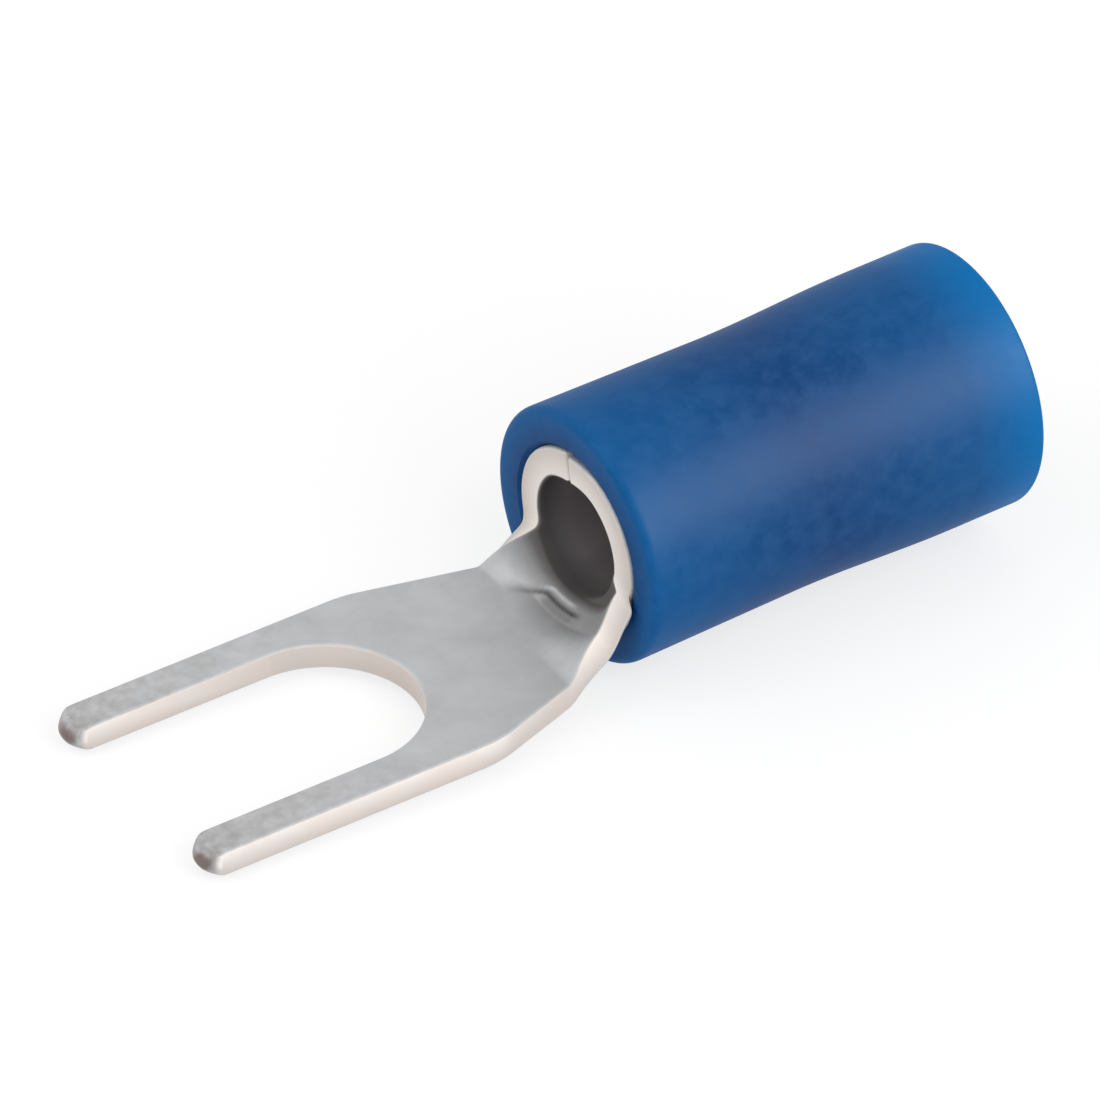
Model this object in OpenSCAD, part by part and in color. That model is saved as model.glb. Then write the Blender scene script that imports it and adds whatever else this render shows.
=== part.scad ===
// Insulated fork terminal for a stranded wire.
// A fork and a barrel are stamped and rolled from one sheet, and a flared sleeve covers the barrel.
// The origin is the centre of the slot's round end, on the fork's underside.
// +X points to the tips of the tines and +Z up, along the stud.

/* [Fork] */
// Width of the slot that takes the stud
slot_w = 4.3; // [3.2:0.1:5.4]
// Width of each tine
tine_w = 0.9; // [0.7:0.05:1.6]
// Length of the tines past the centre of the slot's round end
tine_len = 4.9; // [3:0.05:7]
// Corner radius at the end of each tine
tip_r = 0.35; // [0.1:0.05:0.6]
// Thickness of the sheet
sheet_t = 0.65; // [0.5:0.05:0.9]

/* [Neck] */
// Length of metal between the slot's closed end and the mouth of the barrel
web_len = 4.25; // [3.4:0.05:6]
// Distance from the slot's closed end back to where the fork starts to narrow
shoulder_gap = 0.3; // [0:0.05:0.6]
// Radius that rounds the shoulder where the fork starts to narrow
shoulder_r = 2.5; // [0.5:0.1:4]
// Width of the flat sheet where the neck would meet the barrel
neck_w = 3.8; // [2.4:0.05:4.4]
// Radius of the sheet's inside corner between the neck and the barrel
neck_fillet = 0.4; // [0.2:0.05:0.8]
// Length over which the flat neck rolls up into the barrel
bend_len = 1.4; // [1:0.1:2]
// Height of the barrel's underside over the fork's underside
tongue_drop = 0.5; // [0:0.05:0.6]
// Length of the slope that makes up this height
step_len = 0.8; // [0.5:0.1:1]

/* [Barrel] */
// Outside diameter of the rolled barrel
barrel_od = 4; // [3.4:0.1:4.4]
// Length of the barrel
barrel_len = 5.2; // [4:0.1:7]
// Width of the butt seam along the top of the barrel
seam_gap = 0.1; // [0.05:0.05:0.3]

/* [Sleeve] */
// Wall of the sleeve around the barrel
sleeve_wall = 0.855; // [0.6:0.005:1]
// Length of the flare from the barrel's diameter to the rear of the sleeve
flare_len = 2.5; // [1.5:0.1:4]
// Length of the straight rear of the sleeve
rear_len = 2.4; // [1.5:0.1:4]
// Diameter of the wire entry at the rear of the sleeve
entry_d = 4.6; // [4.2:0.1:5.6]
// Wall of the sleeve around the wire entry
entry_wall = 0.79; // [0.6:0.005:1.2]
// Radius that rounds the ends of the sleeve
rim_r = 0.28; // [0.1:0.02:0.28]
// Radial clearance between the barrel and the sleeve
fit_gap = 0.02; // [0.01:0.01:0.1]
// Clearance between the barrel's rear end and its stop in the sleeve
end_gap = 0.05; // [0.02:0.01:0.2]
// How far the funnel's mouth stands outside the barrel's bore, on each side
funnel_lead = 0.15; // [0.05:0.05:0.3]

/* [Hidden] */
$fn = 96;

// Places along X
slot_r = slot_w / 2;
fork_half = slot_r + tine_w;
mouth_x = -slot_r - web_len;
flat_end_x = mouth_x + bend_len;
shoulder_x = -slot_r - shoulder_gap;
barrel_end_x = mouth_x - barrel_len;

// Barrel
barrel_r = barrel_od / 2;
bore_r = barrel_r - sheet_t;
mid_r = barrel_r - sheet_t / 2;
axis_z = tongue_drop + barrel_r;

// Fork corners, with at least twice tip_land left flat on a tine's end
tip_land = 0.05;
taper = (fork_half - neck_w / 2) / (shoulder_x - mouth_x);
taper_deg = atan(taper);
shoulder_run = shoulder_r * tan(taper_deg / 2);
tip_round = min(tip_r, tine_w / 2 - tip_land);

// Sleeve, measured from its front end
seat_r = barrel_r + fit_gap;
front_r = seat_r + sleeve_wall;
entry_r = entry_d / 2;
rear_r = entry_r + entry_wall;
funnel_r = bore_r + funnel_lead;
stop_s = barrel_len + end_gap;
flare_end_s = barrel_len + flare_len;
sleeve_len = flare_end_s + rear_len;

// Sections of the rolled neck
neck_rows = 16;
row_crowding = 1.5;
neck_steps = 12;
root_len = 0.25;
root_inset = 0.03;
arc_steps = 8;

// Points along an arc about a centre, from one angle to another
function arc(centre, r, from, to) = [
    for (i = [0:arc_steps]) let (a = from + (to - from) * i / arc_steps)
        centre + r * [cos(a), sin(a)]
];

// A smooth step from 0 to 1
function ease(t) = let (c = min(max(t, 0), 1)) c * c * (3 - 2 * c);

// Half the width of the flat sheet, a distance d in front of the barrel's mouth
function sheet_half(d) = let (c = max(neck_fillet - max(d, 0), 0))
    neck_w / 2 + taper * max(d, 0) + neck_fillet - sqrt(neck_fillet ^ 2 - c ^ 2);

// Height of the middle of the sheet along the neck's centre line
function floor_z(d) = sheet_t / 2 + tongue_drop * (1 - ease(d / step_len));

// Thickness of the neck, a little less where it roots inside the barrel's wall
function neck_t(d) = sheet_t - 2 * root_inset * (1 - ease(d / root_len));

// A point of the neck, at u across the sheet and h above its middle
function neck_point(d, u, h) = let (roll = 1 - ease(d / bend_len))
    roll == 0
        ? [mouth_x + d, u, floor_z(d) + h]
        : let (r = mid_r / roll, a = u / r * 180 / PI)
            [mouth_x + d, (r - h) * sin(a), floor_z(d) + r - (r - h) * cos(a)];

// Half the width of the neck, a little less where it roots inside the fork
function neck_half(d) = sheet_half(d) - (d > bend_len ? root_inset : 0);

// One closed section of the neck: along its upper side, then back along its lower side
function neck_section(d) = [
    for (side = [1, -1], j = [-neck_steps:neck_steps])
        neck_point(d, side * neck_half(d) * j / neck_steps, side * neck_t(d) / 2)
];

// The faces that close one end of the neck, across the sheet's thickness
function neck_end(first, ring) = [
    for (k = [0:neck_steps * 2 - 1])
        [first + k, first + k + 1, first + ring - 2 - k, first + ring - 1 - k]
];

// Half of the fork's outline, from the slot round the tip and the shoulder to the neck
half_outline = concat(
    [[0, slot_r]],
    arc([tine_len - tip_round, slot_r + tip_round], tip_round, -90, 0),
    arc([tine_len - tip_round, fork_half - tip_round], tip_round, 0, 90),
    arc([shoulder_x + shoulder_run, fork_half - shoulder_r], shoulder_r, 90, 90 + taper_deg),
    [[flat_end_x, sheet_half(bend_len)]]
);

// The flat fork, open between its tines
module fork() {
    mirrored = [for (i = [len(half_outline) - 1:-1:0]) [half_outline[i].x, -half_outline[i].y]];
    linear_extrude(height = sheet_t)
        difference() {
            polygon(concat(half_outline, mirrored));
            circle(r = slot_r);
        }
}

// The neck between the flat fork and the round barrel
module neck() {
    rows = [for (i = [0:neck_rows]) bend_len * (i / neck_rows) ^ row_crowding];
    places = concat([-root_len], rows, [bend_len + root_len]);
    sections = [for (d = places) neck_section(d)];
    ring = len(sections[0]);
    last = (len(sections) - 1) * ring;
    sides = [
        for (i = [0:len(sections) - 2], k = [0:ring - 1])
            let (a = i * ring + k, b = i * ring + (k + 1) % ring)
                each [[a, b, b + ring], [a, b + ring, a + ring]]
    ];
    rear_end = [for (f = neck_end(0, ring)) [f[3], f[2], f[1], f[0]]];
    polyhedron(
        points = [for (s = sections) each s],
        faces = concat(sides, rear_end, neck_end(last, ring)),
        convexity = 4
    );
}

// The barrel, rolled until its edges meet along the top
module barrel() {
    translate([barrel_end_x, 0, axis_z])
        rotate([0, 90, 0])
            difference() {
                cylinder(h = barrel_len, r = barrel_r);
                translate([0, 0, -barrel_len])
                    cylinder(h = 3 * barrel_len, r = bore_r);
                translate([-2 * barrel_r, -seam_gap / 2, -barrel_len])
                    cube([2 * barrel_r, seam_gap, 3 * barrel_len]);
            }
}

module fork_terminal() {
    color([0.68, 0.68, 0.69])
        union() {
            fork();
            neck();
            barrel();
        }
}

module insulating_sleeve() {
    color([0.1, 0.35, 0.62])
        translate([mouth_x, 0, axis_z])
            rotate([0, -90, 0])
                rotate_extrude()
                    polygon(concat(
                        [[seat_r, 0]],
                        arc([front_r - rim_r, rim_r], rim_r, -90, 0),
                        [[front_r, barrel_len], [rear_r, flare_end_s]],
                        arc([rear_r - rim_r, sleeve_len - rim_r], rim_r, 0, 90),
                        arc([entry_r + rim_r, sleeve_len - rim_r], rim_r, 90, 180),
                        [[entry_r, flare_end_s], [funnel_r, stop_s], [seat_r, stop_s]]
                    ));
}

fork_terminal();
insulating_sleeve();
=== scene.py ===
"""Fork terminal: a tinned copper fork with a rolled barrel, under a flared blue sleeve."""

import math
from types import SimpleNamespace

import bpy
from bpy.props import FloatProperty, FloatVectorProperty, PointerProperty
from bpy.types import Operator, Panel, PropertyGroup
from mathutils import Matrix, Vector


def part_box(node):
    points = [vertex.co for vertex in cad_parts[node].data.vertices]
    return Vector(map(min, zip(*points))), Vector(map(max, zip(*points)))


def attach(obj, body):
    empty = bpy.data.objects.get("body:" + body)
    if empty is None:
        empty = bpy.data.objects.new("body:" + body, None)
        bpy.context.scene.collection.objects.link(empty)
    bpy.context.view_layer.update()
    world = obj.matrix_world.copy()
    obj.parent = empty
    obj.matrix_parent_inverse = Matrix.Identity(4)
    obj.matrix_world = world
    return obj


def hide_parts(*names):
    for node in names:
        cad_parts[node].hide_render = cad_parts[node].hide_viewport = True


bl_info = {
    "name": "Fork Terminal",
    "version": (1, 0, 0),
    "blender": (4, 5, 0),
    "location": "View3D > Sidebar > Terminal",
    "description": "Models an insulated fork terminal and the studio that it is shown in",
    "category": "Object",
}

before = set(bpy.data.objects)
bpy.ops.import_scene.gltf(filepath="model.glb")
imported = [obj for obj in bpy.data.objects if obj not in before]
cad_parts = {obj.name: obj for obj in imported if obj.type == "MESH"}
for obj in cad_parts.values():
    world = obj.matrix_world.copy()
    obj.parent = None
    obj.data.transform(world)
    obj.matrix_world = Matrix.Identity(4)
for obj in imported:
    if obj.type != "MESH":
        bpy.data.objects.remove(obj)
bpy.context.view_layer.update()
TERMINAL_LOW, TERMINAL_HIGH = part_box("fork_terminal")
SLEEVE_LOW, SLEEVE_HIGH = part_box("insulating_sleeve")
BARREL_AXIS_Z = (SLEEVE_LOW.z + SLEEVE_HIGH.z) / 2

# Pieces are shaped in millimetres and shrunk to metres when they are done.
MM_PER_M = 1000.0

# Points that are closer than this, in millimetres, count as one.
SAME_PLACE = 1e-4
# How near to its place a corner's edge is looked for, in millimetres.
CORNER_REACH = 0.02
# A sheet with less than this share of the barrel's roll is flat.
LEAST_ROLL = 1e-6
# How far from a corner of the sleeve its rounding starts, in radii.
CORNER_CUT = 1.2

# Steps of the round shapes
SLOT_STEPS = 128
BARREL_STEPS = 120
SLEEVE_STEPS = 160
CORNER_STEPS = 10

# Lengths on the flat sheet, in millimetres: the end of a tine that is thinned, the strip beside the
# seam that is shifted, and how far the walls of the neck stand from the middle.
TIP_LENGTH = 0.55
LIP_WIDTH = 1.1
WALL_PLACE = 1.6

# Depth of the surface grain, in metres
GRAIN_DEPTH = 0.00002

# The studio, in metres, with the camera's sensor in millimetres. Directions lead to the lamps.
FLOOR_SIZE = 4.0
LAMP_DISTANCE = 0.4
LAMP_SIZE = 0.3
KEY_DIRECTION = (-0.1, 0.8, 0.6)
FILL_DIRECTION = (0.7, -0.2, 0.7)
GLEAM_DIRECTION = (-0.45, 0.7, 0.55)
SENSOR_WIDTH = 36.0
WHITE = (1.0, 1.0, 1.0, 1.0)


def length(name, description, default):
    """A length property, shown in the scene's unit."""
    return FloatProperty(
        name=name,
        description=description,
        default=default,
        precision=5,
        subtype="DISTANCE",
        unit="LENGTH",
    )


def colour(name, description, default):
    """A colour property."""
    return FloatVectorProperty(
        name=name,
        description=description,
        default=default,
        min=0.0,
        max=1.0,
        size=3,
        subtype="COLOR",
    )


def share(name, description, default):
    """A number from 0 to 1."""
    return FloatProperty(
        name=name,
        description=description,
        default=default,
        min=0.0,
        max=1.0,
        subtype="FACTOR",
    )


class TerminalSizes(PropertyGroup):
    """Sizes of the stamped and rolled sheet."""

    tip_x: length("Tips", "Place of the tines' ends along the terminal", TERMINAL_HIGH.x)
    mouth_x: length("Barrel mouth", "Place of the barrel's mouth", SLEEVE_HIGH.x)
    rear_x: length("Barrel rear", "Place of the barrel's rear end", TERMINAL_LOW.x)
    half_width: length("Half width", "Half the width across both tines", TERMINAL_HIGH.y)
    slot_width: length("Slot", "Width of the slot for the stud", 0.0043)
    sheet: length("Sheet", "Thickness of the sheet", 0.00065)
    tip_radius: length("Tip corners", "Radius of the corners of a tine's end", 0.00042)
    shoulder_x: length("Shoulder", "Place where the fork starts to narrow", -0.00245)
    shoulder_radius: length("Shoulder radius", "Radius that rounds the shoulder", 0.0025)
    neck_width: length("Neck", "Width of the flat sheet at the root of the neck", 0.00378)
    neck_shift: length("Neck shift", "How far the root of the neck stands off the middle", 0.00014)
    neck_corner: length("Neck corner", "Radius between the neck and the barrel", 0.0007)
    wall_flare: length("Wall flare", "How far one wall of the neck leans out", 0.00032)
    bend: length("Bend", "Length over which the neck rolls up", 0.0017)
    short_bend: length("Short bend", "That length along the side with no flare", 0.00095)
    bend_start: length("Bend start", "Length of the neck that is as round as the barrel", 0.00006)
    twist: FloatProperty(
        name="Twist",
        description="Turn of the barrel about its axis against the fork",
        default=math.radians(11),
        subtype="ANGLE",
        unit="ROTATION",
    )
    untwist: length("Untwist", "Length over which the neck takes up the twist", 0.00065)
    tilt: FloatProperty(
        name="Tilt",
        description="How far the barrel and its sleeve point up to the rear",
        default=math.radians(1.07),
        subtype="ANGLE",
        unit="ROTATION",
    )
    step: length("Step", "Height of the barrel's underside over the fork's", 0.00042)
    step_start: length("Step start", "Distance of the step from the barrel's mouth", 0.00012)
    step_length: length("Step length", "Length of the step's slope", 0.00056)
    crease: length("Crease", "Depth of the crease at the foot of the step", 0.000012)
    barrel_radius: length("Barrel", "Outer radius of the barrel", 0.002)
    mouth_oval: share("Oval mouth", "Share by which the mouth is wider than a round one", 0.048)
    seam: length("Seam", "Width of the butt seam along the barrel", 0.00004)
    seam_corner: length("Seam corners", "Radius of the sheet's corners at the seam", 0.0001)
    lip_shift: length("Lip shift", "How far one edge of the seam stands inside the other", 0.00008)
    edge_radius: length("Edges", "Radius that rounds the sheet's edges", 0.00007)
    tip_thinning: share("Tip thinning", "Share of its thickness that a tip loses", 0.2)
    tip_bulge: length("Tip bulge", "How far the middle of a tine's end stands out", 0.00012)


class SleeveSizes(PropertyGroup):
    """Sizes of the moulded sleeve."""

    front_radius: length("Front", "Outer radius over the barrel", 0.002875)
    rear_radius: length("Rear", "Outer radius at the rear", 0.00298)
    seat_radius: length("Seat", "Radius of the bore that holds the barrel", 0.00202)
    seat_chamfer: length("Seat chamfer", "Bevel at the front edge of that bore", 0.0001)
    seat_depth: length("Seat depth", "Depth of that bore", 0.00525)
    funnel_radius: length("Funnel", "Radius at the small end of the funnel", 0.0015)
    entry_radius: length("Entry", "Radius of the wire entry", 0.0023)
    flare_start: length("Flare start", "Distance of the flare from the front", 0.0052)
    flare_end: length("Flare end", "Distance of the flare's end from the front", 0.0077)
    flare_blend: length("Flare blend", "Length that softens the ends of the flare", 0.0007)
    entry_blend: length("Entry blend", "Length that softens the end of the wire entry", 0.0003)
    funnel_blend: length("Funnel blend", "Length that softens the small end of the funnel", 0.00012)
    rim: length("Front rim", "Radius that rounds the front end", 0.00019)
    rear_rim: length("Rear rim", "Radius that rounds the rear end", 0.0001)


class FinishColours(PropertyGroup):
    """Colours of the metal and the plastic."""

    tin: colour("Tin", "Satin tin on the sheet's faces", (0.585, 0.59, 0.6))
    tin_dark: colour("Dull tin", "Tin in the dull patches", (0.47, 0.475, 0.48))
    # Partly painted highlight: the sheared edges are painted much brighter than the tin, partly as
    # their own bare sheared metal and partly standing in for the light that they catch.
    cut: colour("Cut edge", "Bright sheared edges", (1.0, 0.955, 0.925))
    # Darker towards the bottom of the sheared edges, along the neck's web and at the slot's end.
    dim_cut: colour("Torn edge", "Dull parts of the sheared edges", (0.68, 0.63, 0.595))
    glint: colour(
        "Copper glint",
        "Copper that shines through on the sheared edges",
        (0.95, 0.76, 0.64),
    )
    copper: colour("Copper", "Bare copper that shows on cut ends", (0.2, 0.15, 0.13))
    # Painted shade: the bore colour darkens the inside of the barrel, where shade falls.
    bore: colour("Bore", "Dull metal inside the barrel", (0.36, 0.325, 0.33))
    # Painted shade: this dark colour stands for the shade in the barrel's mouth, on the neck before
    # it and in the crease at the foot of the step.
    dark: colour(
        "Dark metal",
        "Stained metal at the barrel's mouth and in the crease",
        (0.075, 0.07, 0.07),
    )
    blue: colour("Blue", "Body of the sleeve", (0.0, 0.045, 0.178))
    blue_pale: colour("Pale blue", "Scuffed patches of the sleeve", (0.008, 0.068, 0.218))
    blue_dull: colour("Dull blue", "Small dull marks on the sleeve", (0.021, 0.088, 0.252))
    # Painted light: a brighter blue for the thin rims, standing in for light through the plastic,
    # and over the rear as a painted highlight.
    blue_rim: colour("Rim blue", "Thin rims of the sleeve", (0.0, 0.165, 0.47))


class StudioSettings(PropertyGroup):
    """The floor, the light and the camera."""

    floor_colour: colour("Floor", "Colour of the floor", (0.8, 0.8, 0.8))
    floor_shade: share("Floor shade", "Share of the light on the floor that is seen", 0.34)
    floor_glow: share("Floor glow", "Light that is added to the seen floor to make it white", 0.72)
    ambient: FloatProperty(
        name="Ambient",
        description="Strength of the light from all round",
        default=0.58,
        min=0.0,
    )
    key_power: FloatProperty(
        name="Key light",
        description="Power of the large lamp beside the camera",
        default=0.6,
        min=0.0,
        subtype="POWER",
        unit="POWER",
    )
    fill_power: FloatProperty(
        name="Fill light",
        description="Power of the lamp on the other side",
        default=0.3,
        min=0.0,
        subtype="POWER",
        unit="POWER",
    )
    gleam_power: FloatProperty(
        name="Gleam light",
        description="Power of the lamp that only shows as a gleam along the sleeve",
        default=3.8,
        min=0.0,
        subtype="POWER",
        unit="POWER",
    )
    azimuth: FloatProperty(
        name="Azimuth",
        description="Turn of the camera about the terminal",
        default=math.radians(146.04),
        subtype="ANGLE",
        unit="ROTATION",
    )
    elevation: FloatProperty(
        name="Elevation",
        description="Height of the camera over the horizon",
        default=math.radians(36.83),
        subtype="ANGLE",
        unit="ROTATION",
    )
    distance: length("Distance", "From the camera to its target", 0.34937)
    focal: FloatProperty(
        name="Focal length",
        description="Focal length for a sensor 36 mm wide",
        default=539.35,
        min=1.0,
        subtype="DISTANCE_CAMERA",
        unit="CAMERA",
    )
    target: FloatVectorProperty(
        name="Target",
        description="Point in the middle of the picture",
        default=(-0.005836, -0.000127, 0.00223),
        precision=6,
        size=3,
        subtype="XYZ",
        unit="LENGTH",
    )


# Shaping with operators

def in_mm(sizes):
    """The lengths of a property group in millimetres, and its shares as they are."""
    values = {}
    for prop in sizes.bl_rna.properties:
        if prop.type != "FLOAT":
            continue
        scale = MM_PER_M if prop.unit == "LENGTH" else 1.0
        values[prop.identifier] = getattr(sizes, prop.identifier) * scale
    return SimpleNamespace(**values)


def ease(value, start, end):
    """A smooth step from 0 at the start to 1 at the end, which may be the smaller of the two."""
    done = min(max((value - start) / (end - start), 0.0), 1.0)
    return done * done * (3.0 - 2.0 * done)


def bump(distance, width):
    """A soft hump that is 1 in its middle."""
    return math.exp(-(distance / width) ** 2)


def choose(piece, mode, wanted):
    """Selects those of the piece's edges or faces whose points pass a test, in edit mode."""
    bpy.ops.object.mode_set(mode="EDIT")
    bpy.ops.mesh.select_mode(type=mode)
    bpy.ops.mesh.select_all(action="DESELECT")
    bpy.ops.object.mode_set(mode="OBJECT")
    mesh = piece.data
    found = 0
    for item in {"EDGE": mesh.edges, "FACE": mesh.polygons}[mode]:
        item.select = wanted([mesh.vertices[i].co for i in item.vertices])
        found += item.select
    if not found:
        raise RuntimeError("no part of " + piece.name + " is at that place")
    bpy.ops.object.mode_set(mode="EDIT")


def upright_near(places):
    """A test for edges that stand upright at one of the places."""
    def test(points):
        a, b = points
        if (a.xy - b.xy).length > SAME_PLACE:
            return False
        return any((a.xy - Vector(place)).length < CORNER_REACH for place in places)
    return test


def round_corners(piece, places, offset, segments):
    """Rounds the upright edges at those places."""
    choose(piece, "EDGE", upright_near(places))
    bpy.ops.mesh.bevel(offset=offset, segments=segments, affect="EDGES", profile=0.5)
    bpy.ops.object.mode_set(mode="OBJECT")


def cut_lines(piece, normal, places, wanted=None):
    """Cuts flat lines across the piece, or across those of its faces that pass a test."""
    for place in places:
        if wanted is None:
            bpy.ops.object.mode_set(mode="EDIT")
            bpy.ops.mesh.select_mode(type="FACE")
            bpy.ops.mesh.select_all(action="SELECT")
        else:
            choose(piece, "FACE", wanted)
        bpy.ops.mesh.bisect(
            plane_co=Vector(normal) * place,
            plane_no=normal,
            threshold=SAME_PLACE,
        )
        bpy.ops.object.mode_set(mode="OBJECT")


def apply_modifier(piece, name, kind, **settings):
    """Adds a modifier with those settings and applies it."""
    bpy.context.view_layer.objects.active = piece
    modifier = piece.modifiers.new(name, kind)
    for key, value in settings.items():
        setattr(modifier, key, value)
    bpy.ops.object.modifier_apply(modifier=modifier.name)


def paint(piece, name, value_at):
    """Stores a value for each vertex, which a material reads by that name."""
    values = piece.data.attributes.new(name, "FLOAT", "POINT")
    for vertex in piece.data.vertices:
        values.data[vertex.index].value = value_at(vertex.co)


def shrink_to_metres(piece):
    """Turns the piece's millimetres into metres, with its place in its mesh."""
    bpy.ops.object.select_all(action="DESELECT")
    piece.select_set(True)
    bpy.context.view_layer.objects.active = piece
    piece.scale = (1 / MM_PER_M,) * 3
    bpy.ops.object.transform_apply(location=True, rotation=True, scale=True)


def hand_over(piece, node, material):
    """Gives the piece its material and lets it stand for a solid of the frame."""
    piece.data.materials.clear()
    piece.data.materials.append(material)
    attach(piece, "root")
    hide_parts(node)


# The stamped sheet

def terminal_plan(sizes):
    """The sheet's sizes in millimetres, with those that follow from them."""
    plan = in_mm(sizes)
    plan.slot_radius = plan.slot_width / 2
    plan.neck_roots = [side * plan.neck_width / 2 - plan.neck_shift for side in (-1, 1)]
    plan.middle_radius = plan.barrel_radius - plan.sheet / 2
    plan.barrel_half = math.pi * plan.middle_radius - plan.seam / 2
    plan.axis_z = plan.step + plan.barrel_radius
    plan.tine_y = (plan.slot_radius + plan.half_width) / 2
    plan.flat_x = plan.mouth_x + plan.bend_start + plan.bend
    return plan


def slot_cutter(plan):
    """A block with one round end, as wide as the slot and longer than the tines."""
    bpy.ops.object.select_all(action="DESELECT")
    bpy.ops.mesh.primitive_cylinder_add(
        vertices=SLOT_STEPS,
        radius=plan.slot_radius,
        depth=4 * plan.sheet,
    )
    cutter = bpy.context.object
    bpy.ops.object.mode_set(mode="EDIT")
    bpy.ops.mesh.select_all(action="SELECT")
    bpy.ops.mesh.bisect(plane_co=(0, 0, 0), plane_no=(1, 0, 0), clear_outer=True, use_fill=True)
    bpy.ops.object.mode_set(mode="OBJECT")
    choose(cutter, "FACE", lambda points: all(abs(p.x) < SAME_PLACE for p in points))
    bpy.ops.mesh.extrude_region_move(TRANSFORM_OT_translate={"value": (2 * plan.tip_x, 0, 0)})
    bpy.ops.object.mode_set(mode="OBJECT")
    return cutter


def stamp_blank(plan):
    """Lays out the flat sheet as it leaves the press, with its slot and rounded corners."""
    bpy.ops.object.select_all(action="DESELECT")
    bpy.ops.mesh.primitive_plane_add(size=1)
    blank = bpy.context.object
    blank.name = "stamped_terminal"
    blank.data.name = "stamped_terminal"
    barrel_length = plan.mouth_x - plan.rear_x
    bpy.ops.object.mode_set(mode="EDIT")
    bpy.ops.mesh.select_all(action="SELECT")
    bpy.ops.transform.resize(
        value=(barrel_length, 2 * plan.barrel_half, 1),
        center_override=(0, 0, 0),
    )
    bpy.ops.transform.translate(value=((plan.mouth_x + plan.rear_x) / 2, 0, 0))
    bpy.ops.object.mode_set(mode="OBJECT")
    cut_lines(blank, (0, 1, 0), plan.neck_roots)
    neck_low, neck_high = plan.neck_roots

    def front_of_barrel(points):
        at_mouth = max(abs(p.x - plan.mouth_x) for p in points) < SAME_PLACE
        across = [p.y for p in points]
        in_neck = min(across) > neck_low - SAME_PLACE and max(across) < neck_high + SAME_PLACE
        return at_mouth and in_neck

    choose(blank, "EDGE", front_of_barrel)
    bpy.ops.mesh.extrude_edges_move(
        TRANSFORM_OT_translate={"value": (plan.shoulder_x - plan.mouth_x, plan.neck_shift, 0)},
    )
    bpy.ops.transform.resize(
        value=(1, 2 * plan.half_width / plan.neck_width, 1),
        center_override=(plan.shoulder_x, 0, 0),
    )
    bpy.ops.mesh.extrude_edges_move(
        TRANSFORM_OT_translate={"value": (plan.tip_x - plan.shoulder_x, 0, 0)},
    )
    bpy.ops.object.mode_set(mode="OBJECT")
    apply_modifier(blank, "Thickness", "SOLIDIFY", thickness=plan.sheet, offset=0.0)

    cutter = slot_cutter(plan)
    apply_modifier(blank, "Slot", "BOOLEAN", object=cutter, operation="DIFFERENCE", solver="EXACT")
    bpy.data.objects.remove(cutter)
    bpy.ops.object.select_all(action="DESELECT")
    blank.select_set(True)
    bpy.ops.object.mode_set(mode="EDIT")
    bpy.ops.mesh.select_all(action="SELECT")
    bpy.ops.mesh.remove_doubles(threshold=SAME_PLACE)
    bpy.ops.mesh.dissolve_limited(angle_limit=math.radians(0.5))
    bpy.ops.mesh.select_all(action="SELECT")
    bpy.ops.mesh.normals_make_consistent(inside=False)
    bpy.ops.object.mode_set(mode="OBJECT")

    tips = [
        (plan.tip_x, side * y)
        for side in (-1, 1)
        for y in (plan.slot_radius, plan.half_width)
    ]
    seam_ends = [
        (x, side * plan.barrel_half)
        for side in (-1, 1)
        for x in (plan.mouth_x, plan.rear_x)
    ]
    round_corners(blank, tips, plan.tip_radius, segments=8)
    round_corners(blank, seam_ends, plan.seam_corner, segments=5)
    for root in plan.neck_roots:
        shoulder = (plan.shoulder_x, math.copysign(plan.half_width, root))
        taper = math.atan2(plan.half_width - abs(root), plan.shoulder_x - plan.mouth_x)
        shoulder_cut = plan.shoulder_radius * math.tan(taper / 2)
        neck_cut = plan.neck_corner * math.tan((math.pi / 2 - taper) / 2)
        round_corners(blank, [shoulder], shoulder_cut, segments=8)
        round_corners(blank, [(plan.mouth_x, root)], neck_cut, segments=10)
    apply_modifier(
        blank,
        "Edges",
        "BEVEL",
        width=plan.edge_radius,
        segments=3,
        limit_method="ANGLE",
        angle_limit=math.radians(50),
        use_clamp_overlap=False,
    )
    return blank


def mesh_for_rolling(blank, plan):
    """Cuts the flat sheet into small faces where it will be bent, and at the tips."""
    # A span of the neck: its start and end ahead of the barrel's mouth, and its number of rows.
    neck_spans = ((0.0, 0.2, 8), (0.2, 0.7, 36), (0.7, plan.flat_x - plan.mouth_x, 26))
    barrel_rows = 10
    first_row = 0.35
    fine_tip = 0.3
    tip_rows = [plan.tip_x - back for back in (0.6, 0.48, 0.37, 0.27, 0.18)]
    bend_rows = [
        plan.mouth_x + start + (end - start) * row / rows
        for start, end, rows in neck_spans
        for row in range(rows)
    ]
    bend_rows.append(plan.flat_x)
    rear_rows = [
        plan.mouth_x - (plan.mouth_x - plan.rear_x) * (row + first_row) / barrel_rows
        for row in range(barrel_rows)
    ]
    cut_lines(blank, (1, 0, 0), tip_rows + bend_rows + rear_rows)

    def at_tips(points):
        return max(p.x for p in points) > plan.tip_x - fine_tip

    beside_middle = (-0.24, -0.12, 0, 0.12, 0.24)
    tine_lines = [side * plan.tine_y + aside for side in (-1, 1) for aside in beside_middle]
    height_lines = (-0.2, -0.13, -0.06, 0.01, 0.08, 0.15)
    cut_lines(blank, (0, 1, 0), tine_lines, at_tips)
    cut_lines(blank, (0, 0, 1), height_lines, at_tips)

    def bent(points):
        return max(p.x for p in points) < plan.flat_x + 10 * SAME_PLACE

    around_lines = [
        plan.barrel_half * (2 * step / BARREL_STEPS - 1)
        for step in range(1, BARREL_STEPS)
    ]
    cut_lines(blank, (0, 1, 0), around_lines, bent)


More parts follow.
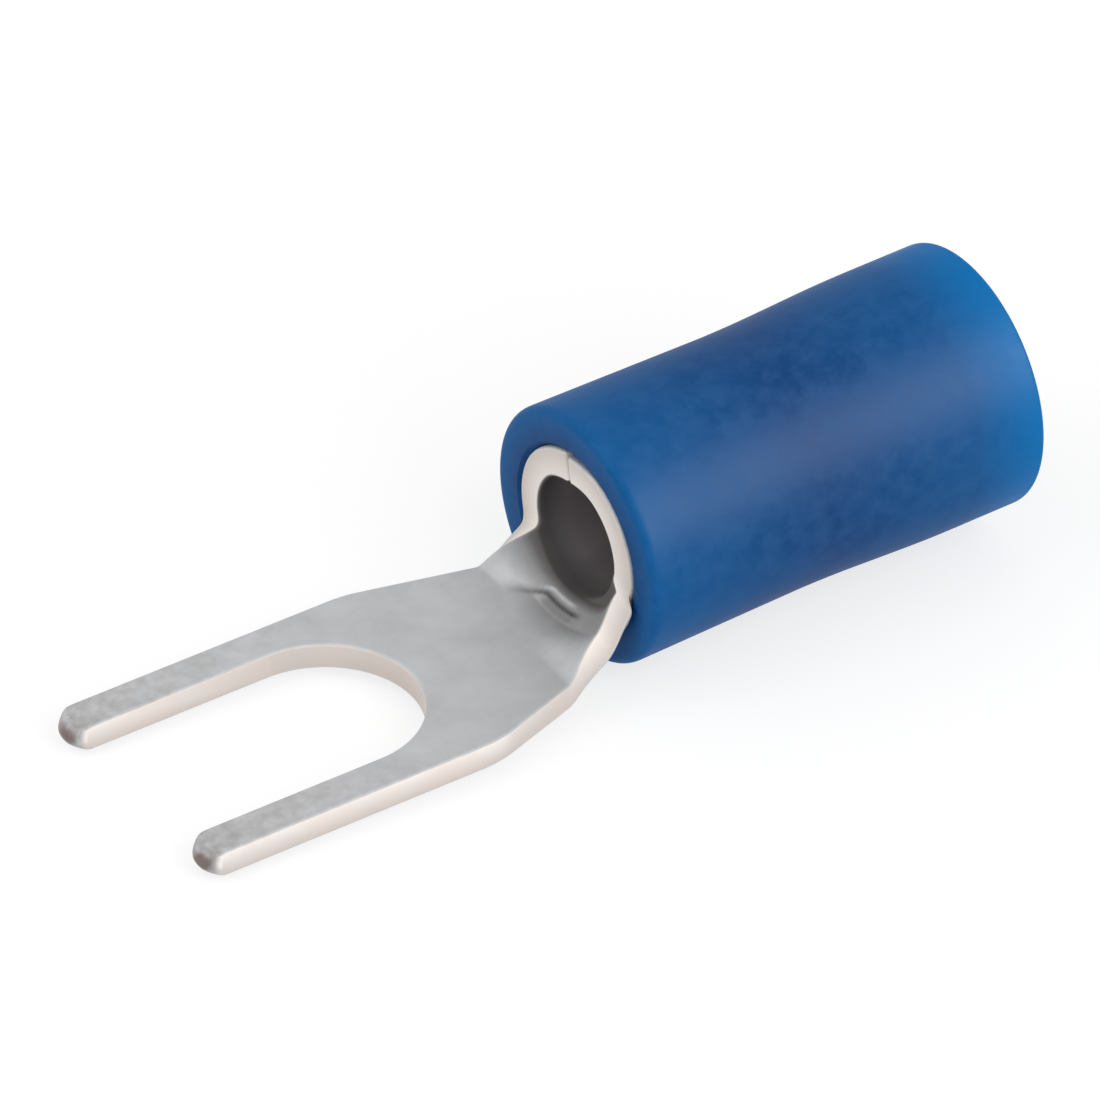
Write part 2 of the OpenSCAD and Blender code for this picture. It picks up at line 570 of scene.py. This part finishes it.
def crease_lines(ahead, across):
    """How strongly the ridge and the groove of the crease at the foot of the step show there."""
    askew = ease(across, -0.5, -1.3)
    foot = 0.44 + 0.45 * askew
    ridge_to_groove = 0.11
    ridge_width = 0.036
    groove_width = 0.045 + 0.11 * askew
    ridge_reach = ease(across, -0.9, -0.6) * ease(across, 0.45, 0.15)
    groove_reach = ease(across, -1.5, -1.1) * ease(across, 0.8, 0.4) * (1.0 - 0.7 * askew)
    ridge = bump(ahead - foot + ridge_to_groove, ridge_width) * ridge_reach
    groove = bump(ahead - foot, groove_width) * groove_reach
    return ridge, groove


def paint_sheet(blank, plan):
    """Marks the flat sheet's cut edges, the painted shade inside the barrel and on the neck before
    it, and the tips.
    """
    half_sheet = plan.sheet / 2
    edge_foot = half_sheet - 1.2 * plan.edge_radius

    def cut_edge(p):
        at_tip = ease(p.x, plan.tip_x - 0.4, plan.tip_x - 0.1)
        return ease(abs(p.z), half_sheet, edge_foot) * (1.0 - 0.9 * at_tip)

    # Darker towards the bottom of the sheared edges, along the neck's web and at the slot's end.
    def torn_edge(p):
        below = ease(p.z, -0.02, -0.18)
        behind_shoulder = ease(p.x, plan.shoulder_x, plan.shoulder_x - 0.8)
        along_web = 0.85 * behind_shoulder * ease(p.x, plan.mouth_x + 0.8, plan.mouth_x + 2.2)
        slot_end = 0.0
        if math.hypot(p.x, p.y) < plan.slot_radius + 0.2:
            slot_end = 0.85 * ease(p.x, 0.9, -0.3)
        return cut_edge(p) * max(below, along_web, slot_end)

    # Painted shade inside the barrel, fading out just ahead of its mouth.
    def bore(p):
        if p.z < 0:
            return 0.0
        return (1.0 - cut_edge(p)) * ease(p.x, plan.mouth_x + 0.45, plan.mouth_x + 0.1)

    # Painted shade on the neck: at the barrel's mouth, over the neck's floor near the mouth, in a
    # band across the neck and in the crease's groove, with less of it on the crease's ridge.
    def stain(p):
        if p.z < 0:
            return 0.0
        ahead = p.x - plan.mouth_x
        ridge, groove = crease_lines(ahead, p.y)
        mouth_end = 0.67 + 0.1 * ease(p.y, -0.4, -1.0)
        mouth = 0.8 * ease(ahead, -0.9, -0.1) * ease(ahead, mouth_end, 0.12)
        neck_shade = (0.36 + 0.14 * ease(p.y, 0.2, 0.7)) * ease(p.y, -1.5, -0.7) * ease(ahead, 1.4, 0.3)
        shade_band = 0.6 * bump(ahead - 0.55, 0.12) * ease(p.y, -0.8, -0.4) * ease(p.y, 0.9, 0.5)
        cover = max(mouth, neck_shade, shade_band) * (1.0 - 0.95 * ridge) + 0.6 * groove
        return (1.0 - cut_edge(p)) * min(1.0, cover)

    def tip_end(p):
        aside = p.y - math.copysign(plan.tine_y, p.y) - 0.12
        at_end = ease(p.x, plan.tip_x - 0.25, plan.tip_x - 0.1)
        return bump(aside, 0.3) * bump(p.z - 0.05, 0.26) * at_end

    def tip_wear(p):
        return (1.0 - cut_edge(p)) * ease(p.x, plan.tip_x - 1.2, plan.tip_x - 0.1)

    paint(blank, "cut_edge", cut_edge)
    paint(blank, "torn_edge", torn_edge)
    paint(blank, "bore", bore)
    paint(blank, "stain", stain)
    paint(blank, "tip_end", tip_end)
    paint(blank, "tip_wear", tip_wear)


def mouth_width(plan, ahead):
    """How much wider than round the barrel and the sleeve are, at a distance ahead of the mouth."""
    return 1.0 + plan.mouth_oval * ease(ahead, -4.2, -0.3) * ease(ahead, 1.2, 0.0)


def rolled(plan, flat):
    """The place of a point of the flat sheet after it is bent and rolled."""
    ahead = flat.x - plan.mouth_x
    across = flat.y
    height = flat.z
    at_tip = ease(flat.x, plan.tip_x - TIP_LENGTH, plan.tip_x)
    height *= 1.0 - plan.tip_thinning * at_tip
    pull = plan.tip_bulge * at_tip * (2 * flat.z / plan.sheet) ** 2
    if height > 0 and 0 < ahead < plan.bend:
        ridge, groove = crease_lines(ahead, across)
        height += plan.crease * (ridge - groove)
    around = across + plan.twist * plan.middle_radius * ease(ahead, plan.untwist, 0.0)
    seam_side = ease(abs(across), plan.barrel_half - LIP_WIDTH, plan.barrel_half)
    if across > 0 or height > 0:
        height += plan.lip_shift * seam_side
    on_step = ease(ahead, plan.step_start + plan.step_length, plan.step_start)
    floor = plan.sheet / 2 + plan.step * on_step
    bend = plan.bend + (plan.short_bend - plan.bend) * ease(across, 0.0, -WALL_PLACE)
    roll = ease(ahead, plan.bend_start + bend, plan.bend_start)
    if roll < LEAST_ROLL:
        return Vector((flat.x - pull, around, floor + height))
    radius = plan.middle_radius / roll
    turn = around / radius
    reach = radius - height
    flare = plan.wall_flare * ease(around, 0.0, WALL_PLACE)
    flare *= ease(ahead, 0.0, 0.15) * ease(ahead, 1.4, 0.4)
    lift = math.tan(plan.tilt) * max(-ahead, 0.0)
    return Vector((
        flat.x,
        reach * math.sin(turn) * mouth_width(plan, ahead) + flare,
        floor + radius - reach * math.cos(turn) + lift,
    ))


class TERMINAL_OT_stamped_terminal(Operator):
    """Stamps the sheet, rolls its barrel and gives it the tinned finish"""

    bl_idname = "terminal.stamped_terminal"
    bl_label = "Stamped Terminal"
    bl_options = {"REGISTER", "UNDO"}

    def execute(self, context):
        plan = terminal_plan(context.scene.terminal_sizes)
        blank = stamp_blank(plan)
        mesh_for_rolling(blank, plan)
        paint_sheet(blank, plan)
        for vertex in blank.data.vertices:
            vertex.co = rolled(plan, vertex.co)
        shrink_to_metres(blank)
        bpy.ops.object.shade_smooth()
        apply_modifier(blank, "Even faces", "WEIGHTED_NORMAL", weight=50, keep_sharp=True)
        finish = tinned_copper(context.scene.finish_colours)
        hand_over(blank, "fork_terminal", finish)
        return {"FINISHED"}


# The moulded sleeve

def sleeve_plan(sizes, barrel):
    """The sleeve's sizes in millimetres, with its ends and the height of its axis."""
    plan = in_mm(sizes)
    plan.front_x = SLEEVE_HIGH.x * MM_PER_M
    plan.rear_x = SLEEVE_LOW.x * MM_PER_M
    plan.axis_z = barrel.axis_z
    return plan


def rounded(corners):
    """Points along a closed outline whose corners are rounded, each by its own cut length."""
    points = []
    for index, (x, r, cut) in enumerate(corners):
        here = Vector((x, r))
        if cut == 0:
            points.append(here)
            continue
        before = Vector(corners[index - 1][:2])
        after = Vector(corners[(index + 1) % len(corners)][:2])
        start = here + (before - here).normalized() * cut
        end = here + (after - here).normalized() * cut
        for step in range(CORNER_STEPS + 1):
            t = step / CORNER_STEPS
            points.append(start * (1 - t) ** 2 + here * 2 * t * (1 - t) + end * t ** 2)
    return points


def sleeve_outline(plan):
    """The sleeve's section as distances along and from its axis, starting at its seat."""
    flare_start_x = plan.front_x - plan.flare_start
    flare_end_x = plan.front_x - plan.flare_end
    stop_x = plan.front_x - plan.seat_depth
    return rounded([
        (plan.front_x, plan.seat_radius + plan.seat_chamfer, 0.0),
        (plan.front_x, plan.front_radius, CORNER_CUT * plan.rim),
        (flare_start_x, plan.front_radius, plan.flare_blend),
        (flare_end_x, plan.rear_radius, plan.flare_blend),
        (plan.rear_x, plan.rear_radius, CORNER_CUT * plan.rear_rim),
        (plan.rear_x, plan.entry_radius, CORNER_CUT * plan.rim),
        (flare_end_x, plan.entry_radius, plan.entry_blend),
        (stop_x, plan.funnel_radius, plan.funnel_blend),
        (stop_x, plan.seat_radius, 0.0),
        (plan.front_x - plan.seat_chamfer, plan.seat_radius, 0.0),
    ])


def spin_sleeve(plan):
    """Spins the sleeve's section about its axis."""
    outline = sleeve_outline(plan)
    bpy.ops.object.select_all(action="DESELECT")
    bpy.ops.mesh.primitive_circle_add(vertices=len(outline), radius=1)
    sleeve = bpy.context.object
    sleeve.name = "moulded_sleeve"
    sleeve.data.name = "moulded_sleeve"
    for vertex, point in zip(sleeve.data.vertices, outline):
        vertex.co = (point.x, 0, plan.axis_z + point.y)
    bpy.ops.object.mode_set(mode="EDIT")
    bpy.ops.mesh.select_all(action="SELECT")
    bpy.ops.mesh.spin(
        steps=SLEEVE_STEPS,
        angle=math.tau,
        center=(0, 0, plan.axis_z),
        axis=(1, 0, 0),
    )
    bpy.ops.mesh.select_all(action="SELECT")
    bpy.ops.mesh.remove_doubles(threshold=SAME_PLACE)
    bpy.ops.mesh.normals_make_consistent(inside=False)
    bpy.ops.object.mode_set(mode="OBJECT")
    return sleeve


def paint_sleeve(sleeve, plan):
    """Marks painted light on the sleeve: brighter thin rims, standing in for light that comes
    through the thin plastic, and a paler rear as a painted highlight.
    """
    # Painted light: brighter at the rims, most at the rear, and paler over the rear as a painted
    # highlight.
    def rim(p):
        outward = math.hypot(p.y, p.z - plan.axis_z) - plan.front_radius
        front = 0.4 * ease(p.x, plan.front_x - 0.8, plan.front_x - 0.1)
        front *= ease(outward, -0.6, -0.15)
        rear = ease(p.x, plan.rear_x + 0.8, plan.rear_x + 0.1)
        paling = 0.32 * ease(p.x, plan.rear_x + 5.9, plan.rear_x + 0.4)
        return max(front, rear, paling)

    paint(sleeve, "rim", rim)


class TERMINAL_OT_moulded_sleeve(Operator):
    """Spins the sleeve's section about the barrel's axis and gives it the blue finish"""

    bl_idname = "terminal.moulded_sleeve"
    bl_label = "Moulded Sleeve"
    bl_options = {"REGISTER", "UNDO"}

    def execute(self, context):
        barrel = terminal_plan(context.scene.terminal_sizes)
        plan = sleeve_plan(context.scene.sleeve_sizes, barrel)
        sleeve = spin_sleeve(plan)
        paint_sleeve(sleeve, plan)
        for vertex in sleeve.data.vertices:
            ahead = vertex.co.x - plan.front_x
            vertex.co.y *= mouth_width(barrel, ahead)
            vertex.co.z -= math.tan(barrel.tilt) * ahead
        shrink_to_metres(sleeve)
        bpy.ops.object.shade_smooth_by_angle(angle=math.radians(32))
        finish = blue_plastic(context.scene.finish_colours)
        hand_over(sleeve, "insulating_sleeve", finish)
        return {"FINISHED"}


# Finishes

def new_group(name, inputs, outputs):
    """An empty shader node group with named sockets, and its end nodes."""
    group = bpy.data.node_groups.new(name, "ShaderNodeTree")
    for label, kind, default in inputs:
        socket = group.interface.new_socket(label, in_out="INPUT", socket_type=kind)
        if default is not None:
            socket.default_value = default
    for label, kind in outputs:
        group.interface.new_socket(label, in_out="OUTPUT", socket_type=kind)
    return group, group.nodes.new("NodeGroupInput"), group.nodes.new("NodeGroupOutput")


def add_node(tree, kind, settings=None, values=None):
    """A node with its settings and its sockets' plain values."""
    node = tree.nodes.new(kind)
    for key, value in (settings or {}).items():
        setattr(node, key, value)
    for socket, value in (values or {}).items():
        node.inputs[socket].default_value = value
    return node


def soft_patches():
    """Group: cloudy patches of a given size, as a value from 0 to 1."""
    name = "Soft patches"
    if name in bpy.data.node_groups:
        return bpy.data.node_groups[name]
    group, start, end = new_group(
        name,
        [
            ("Place", "NodeSocketVector", None),
            ("Patch size", "NodeSocketFloat", 0.5),
            ("Contrast", "NodeSocketFloat", 1.0),
        ],
        [("Value", "NodeSocketFloat")],
    )
    link = group.links.new
    scale = add_node(group, "ShaderNodeMath", {"operation": "DIVIDE"}, {0: 1.0})
    noise = add_node(group, "ShaderNodeTexNoise", None, {"Detail": 4.0, "Roughness": 0.55})
    centred = add_node(group, "ShaderNodeMath", {"operation": "SUBTRACT"}, {1: 0.5})
    spread = add_node(group, "ShaderNodeMath", {"operation": "MULTIPLY"})
    back = add_node(group, "ShaderNodeMath", {"operation": "ADD", "use_clamp": True}, {1: 0.5})
    link(start.outputs["Patch size"], scale.inputs[1])
    link(start.outputs["Place"], noise.inputs["Vector"])
    link(scale.outputs[0], noise.inputs["Scale"])
    link(noise.outputs["Fac"], centred.inputs[0])
    link(centred.outputs[0], spread.inputs[0])
    link(start.outputs["Contrast"], spread.inputs[1])
    link(spread.outputs[0], back.inputs[0])
    link(back.outputs[0], end.inputs["Value"])
    return group


def fine_grain():
    """Group: a fine surface grain that can be drawn out along the part, as a height."""
    name = "Fine grain"
    if name in bpy.data.node_groups:
        return bpy.data.node_groups[name]
    group, start, end = new_group(
        name,
        [
            ("Place", "NodeSocketVector", None),
            ("Grain size", "NodeSocketFloat", 0.05),
            ("Draw out", "NodeSocketVector", (1.0, 1.0, 1.0)),
        ],
        [("Height", "NodeSocketFloat")],
    )
    link = group.links.new
    drawn = add_node(group, "ShaderNodeVectorMath", {"operation": "MULTIPLY"})
    scale = add_node(group, "ShaderNodeMath", {"operation": "DIVIDE"}, {0: 1.0})
    noise = add_node(group, "ShaderNodeTexNoise", None, {"Detail": 3.0, "Roughness": 0.6})
    link(start.outputs["Place"], drawn.inputs[0])
    link(start.outputs["Draw out"], drawn.inputs[1])
    link(start.outputs["Grain size"], scale.inputs[1])
    link(drawn.outputs[0], noise.inputs["Vector"])
    link(scale.outputs[0], noise.inputs["Scale"])
    link(noise.outputs["Fac"], end.inputs["Height"])
    return group


def ragged_mask():
    """Group: a painted mask whose soft border is broken up by small patches."""
    name = "Ragged mask"
    if name in bpy.data.node_groups:
        return bpy.data.node_groups[name]
    group, start, end = new_group(
        name,
        [
            ("Place", "NodeSocketVector", None),
            ("Mask", "NodeSocketFloat", 0.0),
            ("Patch size", "NodeSocketFloat", 0.2),
            ("Raggedness", "NodeSocketFloat", 0.5),
        ],
        [("Mask", "NodeSocketFloat")],
    )
    link = group.links.new
    patches = group.nodes.new("ShaderNodeGroup")
    patches.node_tree = soft_patches()
    patches.inputs["Contrast"].default_value = 1.6
    centred = add_node(group, "ShaderNodeMath", {"operation": "SUBTRACT"}, {1: 0.5})
    spread = add_node(group, "ShaderNodeMath", {"operation": "MULTIPLY"})
    moved = add_node(group, "ShaderNodeMath", {"operation": "ADD"})
    border = add_node(
        group,
        "ShaderNodeMapRange",
        {"interpolation_type": "SMOOTHSTEP"},
        {"From Min": 0.15, "From Max": 0.85},
    )
    link(start.outputs["Place"], patches.inputs["Place"])
    link(start.outputs["Patch size"], patches.inputs["Patch size"])
    link(patches.outputs["Value"], centred.inputs[0])
    link(centred.outputs[0], spread.inputs[0])
    link(start.outputs["Raggedness"], spread.inputs[1])
    link(start.outputs["Mask"], moved.inputs[0])
    link(spread.outputs[0], moved.inputs[1])
    link(moved.outputs[0], border.inputs["Value"])
    link(border.outputs["Result"], end.inputs["Mask"])
    return group


def new_material(name):
    """A material with its shader and a place node that counts in millimetres."""
    material = bpy.data.materials.new(name)
    material.use_nodes = True
    tree = material.node_tree
    shader = tree.nodes["Principled BSDF"]
    coordinates = tree.nodes.new("ShaderNodeTexCoord")
    place = add_node(tree, "ShaderNodeMapping", None, {"Scale": (MM_PER_M,) * 3})
    tree.links.new(coordinates.outputs["Object"], place.inputs["Vector"])
    return material, tree, shader, place.outputs["Vector"]


def add_group(tree, group, place, **values):
    """A group node fed with the place, with underscores in its sockets' names."""
    node = tree.nodes.new("ShaderNodeGroup")
    node.node_tree = group
    tree.links.new(place, node.inputs["Place"])
    for key, value in values.items():
        socket = node.inputs[key.replace("_", " ")]
        if isinstance(value, bpy.types.NodeSocket):
            tree.links.new(value, socket)
        else:
            socket.default_value = value
    return node


def painted(tree, name):
    """The value that a piece stores under that name."""
    node = add_node(tree, "ShaderNodeAttribute", {"attribute_name": name})
    return node.outputs["Fac"]


def mix_colours(tree, amount, first, second):
    """A blend of two colours, each a plain colour or a socket."""
    node = add_node(tree, "ShaderNodeMix", {"data_type": "RGBA"})
    for socket, value in (("Factor_Float", amount), ("A_Color", first), ("B_Color", second)):
        target = next(s for s in node.inputs if s.identifier == socket)
        if isinstance(value, bpy.types.NodeSocket):
            tree.links.new(value, target)
        else:
            target.default_value = (*value, 1.0)
    return next(s for s in node.outputs if s.identifier == "Result_Color")


def map_range(tree, value, low, high):
    """A value from 0 to 1, moved to lie between two others."""
    node = add_node(tree, "ShaderNodeMapRange", None, {"To Min": low, "To Max": high})
    tree.links.new(value, node.inputs["Value"])
    return node.outputs["Result"]


def bump_from(tree, height, strength):
    """A normal from the height of the surface grain."""
    node = add_node(tree, "ShaderNodeBump", None, {"Strength": strength, "Distance": GRAIN_DEPTH})
    tree.links.new(height, node.inputs["Height"])
    return node.outputs["Normal"]


def tinned_copper(colours):
    """Satin tin with cloudy patches, bright cut edges that are partly painted highlight, bare
    copper at the tips, and painted shade in the barrel and at its mouth.
    """
    material, tree, shader, place = new_material("Tinned copper")
    patches = add_group(tree, soft_patches(), place, Patch_size=0.9, Contrast=1.5)
    specks = add_group(tree, soft_patches(), place, Patch_size=0.3, Contrast=2.2)
    edge = add_group(
        tree, ragged_mask(), place,
        Mask=painted(tree, "cut_edge"), Patch_size=0.35, Raggedness=0.15,
    )
    tip = add_group(
        tree, ragged_mask(), place,
        Mask=painted(tree, "tip_end"), Patch_size=0.25, Raggedness=0.5,
    )
    bore = add_group(
        tree, ragged_mask(), place,
        Mask=painted(tree, "bore"), Patch_size=0.4, Raggedness=0.3,
    )
    grain = add_group(tree, fine_grain(), place, Grain_size=0.06, Draw_out=(0.12, 1.0, 1.0))
    tin = mix_colours(tree, patches.outputs["Value"], colours.tin_dark, colours.tin)
    tin = mix_colours(tree, map_range(tree, specks.outputs["Value"], 0.0, 0.35), tin, colours.tin)
    # Darker towards the bottom of the sheared edges, along the web and at the slot's end.
    sheared = mix_colours(tree, painted(tree, "torn_edge"), colours.cut, colours.dim_cut)
    glints = add_group(tree, soft_patches(), place, Patch_size=1.1, Contrast=3.0)
    shine = map_range(tree, glints.outputs["Value"], 0.0, 0.2)
    sheared = mix_colours(tree, shine, sheared, colours.glint)
    # The bright sheared edges are partly painted highlight.
    metal = mix_colours(tree, edge.outputs["Mask"], tin, sheared)
    worn = add_node(tree, "ShaderNodeMath", {"operation": "MULTIPLY"})
    tree.links.new(painted(tree, "tip_wear"), worn.inputs[0])
    tree.links.new(map_range(tree, specks.outputs["Value"], 0.6, -0.15), worn.inputs[1])
    metal = mix_colours(tree, worn.outputs[0], metal, colours.copper)
    bare = map_range(tree, tip.outputs["Mask"], 0.0, 0.85)
    metal = mix_colours(tree, bare, metal, colours.copper)
    # Painted shade inside the barrel.
    metal = mix_colours(tree, bore.outputs["Mask"], metal, colours.bore)
    # Painted shade at the barrel's mouth, on the neck and in the crease.
    metal = mix_colours(tree, painted(tree, "stain"), metal, colours.dark)
    tree.links.new(metal, shader.inputs["Base Color"])
    roughness = add_node(tree, "ShaderNodeMath", {"operation": "MAXIMUM"})
    tree.links.new(map_range(tree, patches.outputs["Value"], 0.74, 0.62), roughness.inputs[0])
    tree.links.new(map_range(tree, edge.outputs["Mask"], 0.5, 0.9), roughness.inputs[1])
    tree.links.new(roughness.outputs[0], shader.inputs["Roughness"])
    tree.links.new(map_range(tree, edge.outputs["Mask"], 0.75, 0.3), shader.inputs["Metallic"])
    tree.links.new(bump_from(tree, grain.outputs["Height"], 0.25), shader.inputs["Normal"])
    return material


def blue_plastic(colours):
    """Soft satin plastic with pale scuffed patches, and painted light: brighter thin rims and a
    paler rear.
    """
    material, tree, shader, place = new_material("Blue plastic")
    patches = add_group(tree, soft_patches(), place, Patch_size=1.6, Contrast=2.0)
    marks = add_group(tree, soft_patches(), place, Patch_size=0.42, Contrast=3.2)
    grain = add_group(tree, fine_grain(), place, Grain_size=0.09)
    body = mix_colours(tree, patches.outputs["Value"], colours.blue, colours.blue_pale)
    dullness = map_range(tree, marks.outputs["Value"], 0.0, 0.7)
    body = mix_colours(tree, dullness, body, colours.blue_dull)
    # Painted light at the rims and over the rear.
    body = mix_colours(tree, painted(tree, "rim"), body, colours.blue_rim)
    tree.links.new(body, shader.inputs["Base Color"])
    tree.links.new(map_range(tree, marks.outputs["Value"], 0.47, 0.55), shader.inputs["Roughness"])
    tree.links.new(bump_from(tree, grain.outputs["Height"], 0.18), shader.inputs["Normal"])
    shader.inputs["Specular IOR Level"].default_value = 0.09
    return material


# The studio

def seen_directly(tree):
    """A value of 1 for rays from the camera, mirrors or glass, and 0 for other light."""
    path = tree.nodes.new("ShaderNodeLightPath")
    first = add_node(tree, "ShaderNodeMath", {"operation": "MAXIMUM"})
    second = add_node(tree, "ShaderNodeMath", {"operation": "MAXIMUM"})
    tree.links.new(path.outputs["Is Camera Ray"], first.inputs[0])
    tree.links.new(path.outputs["Is Glossy Ray"], first.inputs[1])
    tree.links.new(first.outputs[0], second.inputs[0])
    tree.links.new(path.outputs["Is Transmission Ray"], second.inputs[1])
    return second.outputs[0]


def light_the_world(world, ambient):
    """A white surround that lights the terminal from all round."""
    world.use_nodes = True
    tree = world.node_tree
    tree.nodes.clear()
    output = tree.nodes.new("ShaderNodeOutputWorld")
    mix = tree.nodes.new("ShaderNodeMixShader")
    lighting = add_node(tree, "ShaderNodeBackground", None, {"Color": WHITE, "Strength": ambient})
    white = add_node(tree, "ShaderNodeBackground", None, {"Color": WHITE, "Strength": 1.0})
    tree.links.new(seen_directly(tree), mix.inputs[0])
    tree.links.new(lighting.outputs[0], mix.inputs[1])
    tree.links.new(white.outputs[0], mix.inputs[2])
    tree.links.new(mix.outputs[0], output.inputs["Surface"])


def floor_finish(settings):
    """A pale floor that looks white and keeps a soft shadow. It can't be seen from below."""
    material = bpy.data.materials.new("Pale floor")
    material.use_nodes = True
    tree = material.node_tree
    tree.nodes.clear()
    output = tree.nodes.new("ShaderNodeOutputMaterial")
    grey = (settings.floor_shade,) * 3
    light = {"Color": WHITE, "Strength": settings.floor_glow}
    matt = add_node(tree, "ShaderNodeBsdfDiffuse", None, {"Color": (*settings.floor_colour, 1.0)})
    shaded = add_node(tree, "ShaderNodeBsdfDiffuse", None, {"Color": (*grey, 1.0)})
    glow = add_node(tree, "ShaderNodeEmission", None, light)
    white = tree.nodes.new("ShaderNodeAddShader")
    mix = tree.nodes.new("ShaderNodeMixShader")
    sides = tree.nodes.new("ShaderNodeMixShader")
    geometry = tree.nodes.new("ShaderNodeNewGeometry")
    clear = tree.nodes.new("ShaderNodeBsdfTransparent")
    tree.links.new(shaded.outputs[0], white.inputs[0])
    tree.links.new(glow.outputs[0], white.inputs[1])
    tree.links.new(seen_directly(tree), mix.inputs[0])
    tree.links.new(matt.outputs[0], mix.inputs[1])
    tree.links.new(white.outputs[0], mix.inputs[2])
    tree.links.new(geometry.outputs["Backfacing"], sides.inputs[0])
    tree.links.new(mix.outputs[0], sides.inputs[1])
    tree.links.new(clear.outputs[0], sides.inputs[2])
    tree.links.new(sides.outputs[0], output.inputs["Surface"])
    return material


def lay_floor(settings, terminal, sleeve):
    """The floor that the terminal lies on, which touches the front of the sleeve."""
    axis_z = terminal.step + terminal.barrel_radius
    lowered = BARREL_AXIS_Z - axis_z
    front = Vector((SLEEVE_HIGH.x - sleeve.rim, 0, axis_z - sleeve.front_radius))
    flare = Vector((SLEEVE_HIGH.x - sleeve.flare_end, 0, SLEEVE_LOW.z - lowered))
    slope = math.atan2(front.z - flare.z, front.x - flare.x)
    bpy.ops.object.select_all(action="DESELECT")
    bpy.ops.mesh.primitive_plane_add(size=FLOOR_SIZE)
    floor = bpy.context.object
    floor.name = "floor"
    floor.matrix_world = Matrix.Translation(front) @ Matrix.Rotation(-slope, 4, "Y")
    floor.data.materials.append(floor_finish(settings))


def hang_lamp(name, direction, power, target):
    """A square lamp that faces the terminal."""
    bpy.ops.object.select_all(action="DESELECT")
    back = Vector(direction).normalized()
    bpy.ops.object.light_add(type="AREA", location=Vector(target) + back * LAMP_DISTANCE)
    lamp = bpy.context.object
    lamp.name = name
    lamp.rotation_euler = (-back).to_track_quat("-Z", "Y").to_euler()
    lamp.data.size = LAMP_SIZE
    lamp.data.energy = power
    lamp.visible_camera = False
    return lamp


def light_only(lamp, piece_name):
    """Lets a lamp light one piece and no other."""
    lit = bpy.data.collections.new("Lit by " + lamp.name)
    lit.objects.link(bpy.data.objects[piece_name])
    lamp.light_linking.receiver_collection = lit


def add_camera(settings):
    """A camera that looks at the target from the given angles and distance."""
    across = math.cos(settings.elevation)
    back = Vector((
        math.sin(settings.azimuth) * across,
        -math.cos(settings.azimuth) * across,
        math.sin(settings.elevation),
    ))
    bpy.ops.object.select_all(action="DESELECT")
    bpy.ops.object.camera_add(location=Vector(settings.target) + back * settings.distance)
    camera = bpy.context.object
    camera.name = "camera"
    camera.rotation_euler = (-back).to_track_quat("-Z", "Y").to_euler()
    camera.data.sensor_width = SENSOR_WIDTH
    camera.data.lens = settings.focal
    return camera


class TERMINAL_OT_studio(Operator):
    """Lays the floor, hangs the lamps and sets up the camera"""

    bl_idname = "terminal.studio"
    bl_label = "Studio"
    bl_options = {"REGISTER", "UNDO"}

    def execute(self, context):
        scene = context.scene
        settings = scene.studio_settings
        lay_floor(settings, scene.terminal_sizes, scene.sleeve_sizes)
        scene.world = scene.world or bpy.data.worlds.new("Studio")
        light_the_world(scene.world, settings.ambient)
        hang_lamp("key_lamp", KEY_DIRECTION, settings.key_power, settings.target)
        hang_lamp("fill_lamp", FILL_DIRECTION, settings.fill_power, settings.target)
        gleam = hang_lamp("gleam_lamp", GLEAM_DIRECTION, settings.gleam_power, settings.target)
        gleam.visible_diffuse = False
        light_only(gleam, "moulded_sleeve")
        scene.camera = add_camera(settings)
        scene.view_settings.view_transform = "Standard"
        return {"FINISHED"}


class TERMINAL_PT_sidebar(Panel):
    """Lists the pieces of the terminal and its studio"""

    bl_idname = "TERMINAL_PT_sidebar"
    bl_label = "Fork Terminal"
    bl_space_type = "VIEW_3D"
    bl_region_type = "UI"
    bl_category = "Terminal"

    def draw(self, context):
        for operator in OPERATORS:
            self.layout.operator(operator.bl_idname)


OPERATORS = (TERMINAL_OT_stamped_terminal, TERMINAL_OT_moulded_sleeve, TERMINAL_OT_studio)
SETTINGS = {
    "terminal_sizes": TerminalSizes,
    "sleeve_sizes": SleeveSizes,
    "finish_colours": FinishColours,
    "studio_settings": StudioSettings,
}
CLASSES = (*SETTINGS.values(), *OPERATORS, TERMINAL_PT_sidebar)


def register():
    for cls in CLASSES:
        bpy.utils.register_class(cls)
    for name, cls in SETTINGS.items():
        setattr(bpy.types.Scene, name, PointerProperty(type=cls))


def unregister():
    for name in SETTINGS:
        delattr(bpy.types.Scene, name)
    for cls in reversed(CLASSES):
        bpy.utils.unregister_class(cls)


def main():
    register()
    bpy.ops.terminal.stamped_terminal()
    bpy.ops.terminal.moulded_sleeve()
    bpy.ops.terminal.studio()


if __name__ == "__main__":
    main()
